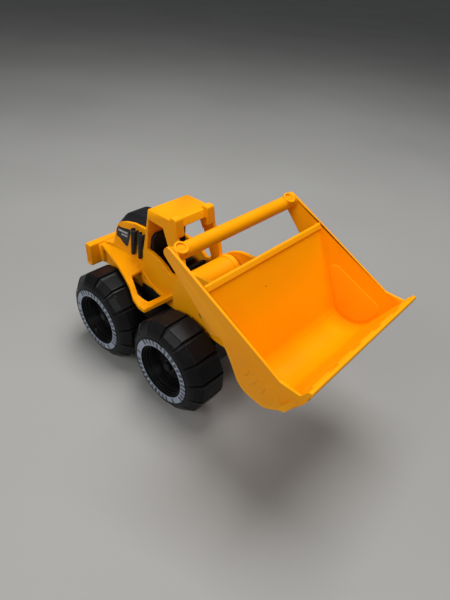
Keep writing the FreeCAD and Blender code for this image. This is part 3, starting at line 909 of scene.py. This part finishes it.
# ---- wheels ---------------------------------------------------------------
@dataclass(frozen=True)
class Wheels:
    """The two wheels and the axle of one end. Sizes are in millimetres, y from the mid plane."""

    end: str
    body: Body
    lugs: int = 14
    groove_depth: float = 2.6
    groove_from: float = 0.865     # share of half a lug where the groove's wall starts
    groove_to: float = 0.925
    ridge: float = 0.22            # raised line beside each groove
    ridge_at: float = 0.76         # share of half a lug where it runs
    ridge_wide: float = 0.03
    fade: tuple[float, float] = (30.6, 34.2)    # radii between which lugs rise from the side
    bead: float = 22.4             # radius where the tyre sits on the hub
    sidewall: float = 56.2         # y of the tyre's outer side
    band_in: float = 22.7
    band_out: float = 27.7
    band_rise: float = 0.12
    band_rows: int = 7             # points across the printed face

    def axle(self) -> np.ndarray:
        """Middle of the axle, from the left tyre's box."""
        low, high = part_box(f"tyre_{self.end}_left")
        return np.array([(low.x + high.x) / 2, 0.0, (low.z + high.z) / 2]) / MM

    def tyre(self, side: Side) -> Piece:
        """Tyre with flat-faced lugs, open on its inner side.

        The section is a closed loop of (y, r). Round the axle each lug is a flat face, so its radius
        is r * cos(angle of its corner) / cos(angle from its middle), and a groove cuts in between lugs.
        Both fade out down the shoulder with a smooth step in r.

        Args:
            side: the tyre's side.

        Returns:
            The object.
        """
        outer = [(26.0, 35.6), (26.0, 37.8), (27.8, 40.0), (48.7, 40.0), (53.5, 34.9), (55.5, 31.0),
                 (55.95, 29.4), (55.55, 28.9), (self.sidewall, 28.2), (self.sidewall, self.bead)]
        inner = [(52.4, self.bead), (52.4, 27.4), (50.0, 31.2), (46.0, 35.6)]
        radii = [0.4, 1.0, 1.6, 2.6, 2.2, 1.0, 0.3, 0.2, 0.4, 0.4, 0.2, 1.0, 1.0, 1.0]
        spans = 4
        section = rounded(outer + inner, radii, spans)
        y, r = section[:, 0], section[:, 1]
        outside = np.arange(len(section)) < (spans + 1) * len(outer)
        weight = smooth_step(*self.fade, r) * outside
        share = np.array([-1.0, -0.96, -0.93, -0.91, -0.89, -0.87, -0.84, -0.8, -0.5, -0.25, 0.0,
                          0.25, 0.5, 0.7, 0.76, 0.8, 0.84, 0.87, 0.89, 0.91, 0.93, 0.96])
        half = math.pi / self.lugs
        angle = ((2 * np.arange(self.lugs)[:, None] + share[None]) * half).ravel()
        local = np.tile(share, self.lugs)
        flat = math.cos(self.groove_from * half) / np.cos(local * half)
        cut = smooth_step(self.groove_from, self.groove_to, np.abs(local)) * self.groove_depth
        rim = np.exp(-(((local - self.ridge_at) / self.ridge_wide) ** 2)) * self.ridge
        radius = (r[None] * (1 - weight[None] * (1 - flat[:, None]))
                  + weight[None] * (rim - cut)[:, None])
        centre = self.axle()
        points = np.stack([centre[0] + radius * np.cos(angle)[:, None],
                           np.broadcast_to(y * side.value, radius.shape),
                           centre[2] + radius * np.sin(angle)[:, None]], 2)
        name = f"tyre_{self.end}_{side.word}_lugged"
        return close_up(grid_object(name, points, wrap_v=True), FINE_TURN)

    def turned(self, name: str, section: np.ndarray, side: Side, steps: int = 112,
               closed: bool = True) -> Piece:
        """Piece turned about this axle.

        Args:
            name: the start of the piece's name.
            section: (n, 2) array of y and radius, for the left side.
            side: the piece's side.
            steps: spans round the axle.
            closed: whether the section is a loop.

        Returns:
            The object.
        """
        section = section * np.array([side.value, 1.0])
        piece = lathe(f"{name}_{self.end}_{side.word}", section, self.axle(), (0, 1, 0), steps,
                      closed)
        return close_up(piece, FINE_TURN)

    def hub(self, side: Side) -> Piece:
        """Deep dish with stepped lips, a flat floor and a centre tube.

        Args:
            side: the hub's side.

        Returns:
            The object.
        """
        section = [(54.6, self.bead), (54.6, 21.3), (53.0, 21.0), (53.0, 20.3), (50.6, 19.9),
                   (50.6, 19.2), (44.4, 17.8), (44.4, 12.6), (45.2, 12.2), (45.2, 10.6),
                   (44.4, 10.2), (44.4, 6.4), (47.6, 5.8), (47.6, 2.0), (28.0, 2.0), (28.0, 5.0),
                   (41.5, 6.5), (41.5, 19.3), (50.0, 21.2), (50.0, self.bead)]
        return self.turned("hub_dish", rounded(section, 0.28, 3), side)

    def cap(self, side: Side) -> Piece:
        """Domed push-on cap."""
        section = rounded([(47.2, 0.0), (47.2, 4.0), (49.6, 4.0), (50.4, 2.6), (50.4, 0.0)],
                          [0, 0.3, 0.8, 0.8, 0], 4, closed=False)
        return self.turned("axle_cap", section, side, 48, closed=False)

    def band(self, side: Side) -> Piece:
        """Thin printed ring on the sidewall, raised a little; v runs from its inner to outer edge.

        Its section goes out along the printed face; its first and last points lie inside the tyre.

        Args:
            side: the tyre's side.

        Returns:
            The object.
        """
        face = self.sidewall + self.band_rise
        back = self.sidewall - self.band_rise
        v = np.linspace(self.band_in, self.band_out, self.band_rows)
        front = np.stack([np.full(self.band_rows, face), v], 1)
        section = np.vstack([[back, self.band_in], front, [back, self.band_out]])
        return self.turned("tyre_band", section, side, 168)

    def build(self, maker: Maker) -> None:
        """Makes both wheels and dresses the axle.

        Args:
            maker: places the pieces.
        """
        caps = f"axle_caps_{self.end}"
        for side in Side:
            suffix = f"{self.end}_{side.word}"
            maker.place(self.tyre(side), TYRE_SKIN, self.body, Slot.TYRE, f"tyre_{suffix}")
            maker.place(self.hub(side), HUB_SKIN, self.body, Slot.HUB, f"hub_{suffix}")
            maker.place(self.band(side), BAND, self.body, Slot.TYRE)
            maker.place(self.cap(side), HUB_SKIN, self.body, Slot.HUB, caps)
        maker.keep(f"axle_{self.end}", STEEL)


# ---- body -----------------------------------------------------------------
@dataclass(frozen=True)
class Hood:
    """Black lid, twin pipes and labels on the hood. Stations are (x, half width, top), from the rear."""

    stations: tuple[tuple[float, float, float], ...] = (
        (-101.6, 15.4, 109.6), (-94.8, 15.8, 115.6), (-85.6, 16.2, 119.6), (-75.0, 16.6, 122.4),
        (-58.0, 17.0, 123.6))
    base_half: float = 21.0
    base_z: float = 92.0
    cover_half: float = 14.8
    crown: float = 3.6
    rear_bulge: float = 2.0        # extra crown near the rear
    bulge_at: float = -91.0
    bulge_reach: float = 9.0
    tuck: float = 5.0              # length over which the rear end rounds down
    pipes: tuple[float, float] = (-71.6, -62.8)
    pipe_top: tuple[float, float] = (19.2, 118.6)
    label_rings: tuple[tuple[float, float], ...] = (    # share of the outline, height off the hood
        (0.02, 0.16), (0.4, 0.16), (0.7, 0.16), (0.985, 0.16), (1.0, 0.1), (1.0, -0.3))
    label: tuple[tuple[float, float], ...] = (
        (-100.2, 107.6), (-97.2, 111.6), (-80.4, 114.8), (-79.0, 113.0), (-81.2, 100.8),
        (-83.2, 99.0), (-98.6, 102.6))

    def top(self, x: np.ndarray) -> np.ndarray:
        """Height of the hood's top edge: the quartic through the five stations."""
        table = np.array(self.stations)
        return np.polyval(np.polyfit(table[:, 0] + 80, table[:, 2], 4), x + 80)

    def cover(self) -> Piece:
        """Crowned lid: a rounded six-corner section carried along the hood, tucked in at the rear.

        Its height is the crown plus a bell curve round the bulge's middle, times the square root of
        the way along the tuck, up to 1.

        Returns:
            The object.
        """
        x = np.linspace(self.stations[0][0] + 0.2, self.stations[-1][0], 34)
        tuck = np.sqrt(np.clip((x - x[0] + 0.15) / self.tuck, 0, 1))
        sections = []
        for place, scale in zip(x, tuck):
            top = float(self.top(place))
            half = self.cover_half - 0.8 * (1 - scale)
            bulge = self.rear_bulge * math.exp(-(((place - self.bulge_at) / self.bulge_reach) ** 2))
            rise = (self.crown + bulge) * scale
            loop = rounded([(-half, -0.8), (-half, 0.2), (-0.56 * half, rise), (0.56 * half, rise),
                            (half, 0.2), (half, -0.8)], [0.1, 0.4, 2.6, 2.6, 0.4, 0.1], 5)
            sections.append(np.stack([np.full(len(loop), place), loop[:, 0], loop[:, 1] + top], 1))
        return close_up(carried("hood_cover_crowned", np.array(sections)))

    def lean(self) -> np.ndarray:
        """Direction up the hood's left side where the pipes stand."""
        _, half, top = self.stations[3]
        return unit(np.array([0.0, half - self.base_half, top - self.base_z]))

    def pipe_pair(self, side: Side) -> Piece:
        """Two tapered pipes with open tops.

        Args:
            side: the hood's side.

        Returns:
            The object.
        """
        up = self.lean()
        section = rounded([(-21.0, 0.0), (-21.0, 1.6), (-2.0, 3.1), (0.9, 3.3), (0.9, 2.4),
                           (-1.6, 2.1), (-1.6, 0.0)], [0, 0.9, 0, 0.35, 0.3, 0.3, 0], 4,
                          closed=False)
        made = []
        for x in self.pipes:
            centre = np.array([x, *self.pipe_top])
            made.append(lathe(f"pipe_{len(made)}", section, mirrored(centre, side),
                              mirrored(up, side), 40, closed=False))
        return joined(f"exhaust_pipes_{side.word}", made)

    def on_side(self, rows: np.ndarray) -> np.ndarray:
        """Points on the hood's left side.

        The side is ruled: y falls in step with z from the base half width to the top edge's.

        Args:
            rows: (n, 3) array of x, z and height off the side.

        Returns:
            An (n, 3) array of points.
        """
        table = np.array(self.stations)
        half = np.interp(rows[:, 0], table[:, 0], table[:, 1])
        top = np.interp(rows[:, 0], table[:, 0], table[:, 2])
        y = self.base_half - (self.base_half - half) * (rows[:, 1] - self.base_z) / (top - self.base_z)
        return np.stack([rows[:, 0], y + rows[:, 2], rows[:, 1]], 1)

    def sticker(self, side: Side) -> Piece:
        """Label that follows the hood's side: rings of its outline from the middle to the rim.

        Its map is flat, 0 to 1 across its own box.

        Args:
            side: the hood's side.

        Returns:
            The object.
        """
        outline = rounded(self.label, [1.0, 1.0, 1.0, 1.0, 1.2, 1.2, 1.2], 4)
        middle = outline.mean(0)
        rings = []
        for share, rise in self.label_rings:
            ring = middle + (outline - middle) * share
            rings.append(self.on_side(np.hstack([ring, np.full((len(ring), 1), rise)])))
        obj = grid_object(f"hood_label_{side.word}_striped",
                          mirrored(np.stack(rings, 1), side), caps=True)
        close_up(obj)
        loops = np.zeros(len(obj.data.loops), np.int32)
        obj.data.loops.foreach_get("vertex_index", loops)
        place = np.zeros(len(obj.data.vertices) * 3)
        obj.data.vertices.foreach_get("co", place)
        flat = place.reshape(-1, 3)[loops][:, [0, 2]] / MM
        low, high = outline.min(0), outline.max(0)
        obj.data.uv_layers[0].data.foreach_set(
            "uv", ((flat - low) / (high - low)).astype(np.float32).ravel())
        return obj

    def build(self, maker: Maker) -> None:
        """Makes the trim of the hood.

        Args:
            maker: places the pieces.
        """
        maker.place(self.cover(), BLACK_GLOSS, Body.MAIN, Slot.TRIM, "hood_cover")
        for side in Side:
            maker.place(self.pipe_pair(side), BLACK_GLOSS, Body.MAIN, Slot.TRIM,
                        f"exhausts_{side.word}")
            maker.place(self.sticker(side), LABEL, Body.MAIN, Slot.LABEL, f"hood_label_{side.word}")


def joined(name: str, parts: Sequence[Piece]) -> Piece:
    """One object from several closed ones.

    Args:
        name: the new piece's name.
        parts: the pieces, which are used up.

    Returns:
        The object.
    """
    work = bmesh.new()
    for part in parts:
        work.from_mesh(part.data)
        bpy.data.objects.remove(part)
    mesh = bpy.data.meshes.new(name)
    work.to_mesh(mesh)
    work.free()
    return close_up(linked(name, mesh))


@dataclass(frozen=True)
class Shells:
    """The main mouldings: body, cab, seat, chassis and cross barrel."""

    barrel: tuple[float, float] = (-4.4, 96.8)      # x and z of its axis
    barrel_r: float = 13.2
    collar_r: float = 14.0
    collar_from: float = 16.1
    barrel_end: float = 21.0
    recess: float = 1.5

    def cross_barrel(self) -> Piece:
        """Fat cross tube with a stepped collar and a shallow end recess on each side.

        Returns:
            The object.
        """
        floor = self.barrel_end - self.recess
        half = [(0.0, self.barrel_r), (self.collar_from, self.barrel_r),
                (self.collar_from, self.collar_r), (self.barrel_end, self.collar_r),
                (self.barrel_end, 11.0), (floor, 10.6), (floor, 0.0)]
        right = rounded(half, [0, 0.25, 0.45, 0.7, 0.4, 0.4, 0], 4, closed=False)
        left = right[::-1] * np.array([-1.0, 1.0])
        centre = (self.barrel[0], 0.0, self.barrel[1])
        piece = lathe("cross_barrel_turned", np.vstack([left, right[1:]]), centre, (0, 1, 0), 120,
                      closed=False)
        return close_up(piece, FINE_TURN)

    def step_liner(self, side: Side) -> Piece:
        """Black sheets that paint the shade in the step recess beside the cab: a thin wall on the body's
        side and a floor.

        Each is a rounded loop of (y, z) carried along x.

        Args:
            side: the body's side.

        Returns:
            The object.
        """
        made = []
        wall = rounded([(21.05, 60.6), (21.9, 60.6), (21.9, 74.6), (21.05, 74.6)], 0.3, 3)
        floor = rounded([(21.9, 60.4), (37.0, 60.4), (37.0, 61.6), (21.9, 61.6)], 0.4, 3)
        for loop, low, high in ((wall, -62.0, -34.6), (floor, -48.6, -36.4)):
            rows = [np.stack([np.full(len(loop), x), loop[:, 0], loop[:, 1]], 1)
                    for x in np.linspace(low, high, 9)]
            made.append(carried(f"liner_{len(made)}", mirrored(np.array(rows), side)))
        return joined(f"step_liner_{side.word}", made)

    def build(self, maker: Maker) -> None:
        """Makes the shells and keeps the small hardware.

        Args:
            maker: places the pieces.
        """
        shell = (YELLOW, Body.MAIN, Slot.SHELL)
        maker.soften("body_shell", "body_moulding", 0.8, *shell)
        maker.soften("cab_shell", "cab_moulding", 0.8, *shell)
        maker.place(self.cross_barrel(), *shell, "cross_barrel")
        maker.soften("cab_seat", "seat_moulding", 0.8, BLACK_MATT, Body.MAIN, Slot.INTERIOR)
        maker.soften("chassis", "chassis_tray", 0.7, BLACK_MATT, Body.MAIN, Slot.CHASSIS)
        # Black sheets painting the shade in the step recesses.
        for side in Side:
            maker.place(self.step_liner(side), BLACK_MATT, Body.MAIN, Slot.CHASSIS)
        for end in ("front", "rear"):
            maker.keep(f"axle_keeper_{end}", BLACK_MATT)
        for node in ("hinge_pin", "chassis_screws", "keeper_screws"):
            maker.keep(node, STEEL)


# ---- bucket ---------------------------------------------------------------
@dataclass(frozen=True)
class Bucket:
    """Bucket, arms and cross handle. The mouth's edge runs forward and down by the tilt."""

    tilt: float = math.radians(25.8)
    draft: float = math.tan(math.radians(9.1))
    mouth: tuple[float, float] = (105.1, 115.9)
    inner_half: float = 58.7
    outer_half: float = 60.6
    handle: tuple[float, float] = (17.0, 152.6)
    handle_r: float = 5.0
    boss_y: float = 52.8
    inner_rise: float = 0.45       # how far the stamped panels stand out
    outer_rise: float = 0.15
    panel_soft: float = 0.9
    tick_rise: float = 0.85
    tick_soft: float = 0.3
    lip: tuple[tuple[float, float], ...] = ((114.2, 108.6), (122.55, 122.15))
    teeth: int = 5
    tooth_pitch: float = 24.2
    tooth_width: float = 16.4
    tooth_rise: float = 0.95
    flank: float = 0.08            # share of half a tooth that its flank takes

    def depth(self, x: np.ndarray, z: np.ndarray) -> np.ndarray:
        """Distance below the mouth's plane."""
        return (-(x - self.mouth[0]) * math.sin(self.tilt)
                - (z - self.mouth[1]) * math.cos(self.tilt))

    def on_plate(self, inside: bool, side: Side) -> Callable[[np.ndarray], np.ndarray]:
        """Placer of (x, z, height) rows on a leaning side plate.

        Args:
            inside: the plate's inner face where true, its outer one where false.
            side: the plate's side.

        Returns:
            A function from rows to points.
        """
        half = self.inner_half if inside else self.outer_half
        way = -1.0 if inside else 1.0

        def place(rows: np.ndarray) -> np.ndarray:
            """y is the face's half width, less draft times depth, plus the height off the face."""
            y = half - self.draft * self.depth(rows[:, 0], rows[:, 1]) + way * rows[:, 2]
            return mirrored(np.stack([rows[:, 0], y, rows[:, 1]], 1), side)
        return place

    def panel(self, inside: bool, side: Side) -> Piece:
        """D-shaped stamped panel on a side plate, its straight edge along the mouth.

        Args:
            inside: whether it is on the plate's inner face.
            side: the plate's side.

        Returns:
            The object.
        """
        corners = [(60.8, 116.0), (65.2, 121.6), (104.0, 104.4), (106.0, 98.6), (98.8, 85.6),
                   (77.4, 85.6)]
        if not inside:
            corners[4:] = [(97.0, 83.0), (76.0, 82.0)]
        outline = rounded(corners, [3, 5, 3, 3, 12, 10], 6)
        name = f"bucket_panel_{'inner' if inside else 'outer'}_{side.word}"
        height = self.inner_rise if inside else self.outer_rise
        return close_up(raised_plate(name, outline, self.on_plate(inside, side), height,
                                     self.panel_soft))

    def ticks(self, side: Side) -> Piece:
        """Three short raised bars on a plate's outer face, square to the mouth.

        Args:
            side: the plate's side.

        Returns:
            The object.
        """
        down = np.array([-math.sin(self.tilt), -math.cos(self.tilt)])
        along = np.array([math.cos(self.tilt), -math.sin(self.tilt)])
        bars = []
        for x, z in ((80.3, 101.5), (86.6, 98.8), (92.9, 96.1)):
            box = [(-0.6, -3.6), (0.6, -3.6), (0.6, 3.6), (-0.6, 3.6)]
            loop = rounded(box, 0.55, 3)
            outline = np.array([x, z]) + loop[:, :1] * along + loop[:, 1:] * down
            bars.append(raised_plate(f"tick_{len(bars)}", outline, self.on_plate(False, side),
                                     self.tick_rise, self.tick_soft))
        return joined(f"bucket_ticks_{side.word}", bars)

    def tooth_row(self) -> Piece:
        """Wedge pads along the lip: each rises from nothing to its full height at the cutting edge.

        A pad's section along the floor is a thin wedge. Across the bucket its height falls straight
        to a tenth over its flanks.

        Returns:
            The object.
        """
        start, edge = np.array(self.lip)
        along = unit(edge - start)
        inward = np.array([-along[1], along[0]])
        length = float(np.linalg.norm(edge - start))
        pads = []
        for k in range(self.teeth):
            middle = (k - (self.teeth - 1) / 2) * self.tooth_pitch
            sections = []
            for across in np.array([-1.0, -0.97, -0.92, -0.5, 0.0, 0.5, 0.92, 0.97, 1.0]):
                rise = self.tooth_rise * min(1.0, (1.0 - abs(across)) / self.flank * 0.9 + 0.1)
                loop = np.array([(0.0, -0.6), (0.0, 0.02), (length * 0.8, 0.8 * rise),
                                 (length * 0.97, rise), (length, rise * 0.7), (length, -0.6)])
                flat = start + loop[:, :1] * along + loop[:, 1:] * inward
                y = middle + across * self.tooth_width / 2
                sections.append(np.stack([flat[:, 0], np.full(len(flat), y), flat[:, 1]], 1))
            pads.append(carried(f"pad_{k}", np.array(sections)))
        return joined("bucket_lip_pads", pads)

    def handle_tube(self) -> Piece:
        """Cross tube with small fillets at its ends, and a recessed round boss near each end.

        Returns:
            The object.
        """
        x, z = self.handle
        end = self.inner_half - self.draft * float(self.depth(np.array(x), np.array(z))) + 0.6
        half = rounded([(0.0, self.handle_r), (end - 2.2, self.handle_r), (end - 0.6, 6.0),
                        (end, 6.0), (end, 0.0)], [0, 2.0, 0.5, 0, 0], 5, closed=False)
        other = half[::-1] * np.array([-1.0, 1.0])
        parts = [lathe("tube", np.vstack([other, half[1:]]), (x, 0, z), (0, 1, 0), 72, closed=False)]
        up = (math.sin(self.tilt), 0.0, math.cos(self.tilt))
        boss = rounded([(0.0, 0.0), (0.0, 4.9), (4.4, 4.6), (5.8, 4.6), (5.8, 3.2), (4.7, 3.1),
                        (4.7, 0.0)], [0, 0, 1.0, 0.5, 0.4, 0.35, 0], 4, closed=False)
        for y in (-self.boss_y, self.boss_y):
            parts.append(lathe(f"boss_{y:.0f}", boss, (x, y, z), up, 56, closed=False))
        return joined("handle_tube", parts)

    def build(self, maker: Maker) -> None:
        """Makes everything that turns with the bucket.

        Args:
            maker: places the pieces.
        """
        scoop = (YELLOW, Body.BUCKET, Slot.SCOOP)
        maker.soften("bucket", "bucket_moulding", 0.7, *scoop)
        maker.place(self.handle_tube(), *scoop, "handle_bar")
        maker.place(self.tooth_row(), *scoop)
        for side in Side:
            arm = f"lift_arm_{side.word}"
            maker.soften(arm, f"{arm}_moulding", 0.8, *scoop)
            for piece in (self.panel(True, side), self.panel(False, side), self.ticks(side)):
                maker.place(piece, *scoop)


# ---- set ------------------------------------------------------------------
@dataclass(frozen=True)
class Studio:
    """Pale floor, soft lights and the camera."""

    eye: tuple[float, float, float] = (0.1904, -0.2091, 0.2968)
    ahead: tuple[float, float, float] = (-0.5184, 0.6023, -0.6070)
    roll: float = 0.0719
    lens: float = 27.385
    sensor: float = 36.0
    target: tuple[float, float, float] = (0.0, 0.0, 0.07)       # where the lights point
    lights: tuple[tuple[Any, ...], ...] = (         # name, place, size and power in watts
        ("key", (-0.05, 0.20, 1.15), 0.6, 11.5),
        ("fill", (-0.15, -1.05, 0.75), 0.7, 5.8),
        ("side", (0.95, -0.30, 0.75), 0.6, 2.0))
    room: Colour = (0.93, 0.96, 1.0, 1.0)
    room_light: float = 0.11

    def floor(self) -> None:
        """Plain pale ground, 40 m across."""
        reach = 20000.0
        corners = np.array([[-1, -1, 0], [-1, 1, 0], [1, -1, 0], [1, 1, 0]], float)
        points = (corners * reach).reshape(2, 2, 3)
        ground = grid_object("floor", points, wrap_u=False)
        material, g, shader = new_material("pale_floor")
        place = g.add("ShaderNodeTexCoord").outputs["Object"]
        tone = g.ramp(g.noise(place, 3.0), 0.3, 0.7)
        g.plug(shader.inputs["Base Color"],
               g.mix(tone, (0.34, 0.335, 0.322, 1.0), (0.37, 0.365, 0.352, 1.0)))
        shader.inputs["Roughness"].default_value = 0.9
        ground.data.materials.append(material)

    def light(self, name: str, place: Sequence[float], size: float, power: float) -> None:
        """Square soft light that faces the loader.

        Args:
            name: its name.
            place: where it stands, in metres.
            size: its side, in metres.
            power: its power, in watts.
        """
        lamp = bpy.data.lights.new(name, "AREA")
        lamp.size, lamp.energy = size, power
        obj = linked(name, lamp)
        obj.location = place
        way = Vector(self.target) - Vector(place)
        obj.rotation_euler = way.to_track_quat("-Z", "Y").to_euler()

    def camera(self) -> None:
        """Camera at the eye, looking ahead, rolled about its own axis."""
        ahead = Vector(self.ahead).normalized()
        right = ahead.cross(Vector((0, 0, 1))).normalized()
        up = right.cross(ahead)
        c, s = math.cos(self.roll), math.sin(self.roll)
        across, rise = c * right + s * up, -s * right + c * up
        data = bpy.data.cameras.new("camera")
        data.lens, data.sensor_width = self.lens, self.sensor
        data.clip_start = 0.01
        camera = linked("camera", data)
        turn = Matrix((across, rise, -ahead)).transposed().to_4x4()
        camera.matrix_world = Matrix.Translation(Vector(self.eye)) @ turn
        bpy.context.scene.camera = camera

    def build(self) -> None:
        """Sets the stage."""
        self.floor()
        self.camera()
        for row in self.lights:
            self.light(*row)
        world = bpy.data.worlds.new("soft_room")
        world.use_nodes = True
        background = world.node_tree.nodes["Background"]
        background.inputs["Color"].default_value = self.room
        background.inputs["Strength"].default_value = self.room_light
        bpy.context.scene.world = world
        bpy.context.scene.view_settings.view_transform = "Standard"


def main() -> None:
    """Builds the stage, then the loader from its wheels up."""
    logging.basicConfig(level=logging.INFO, format="%(name)s %(message)s")
    Studio().build()
    maker = Maker()
    for part in (Wheels("front", Body.FRONT), Wheels("rear", Body.REAR), Shells(), Hood(), Bucket()):
        part.build(maker)


if __name__ == "__main__":
    main()
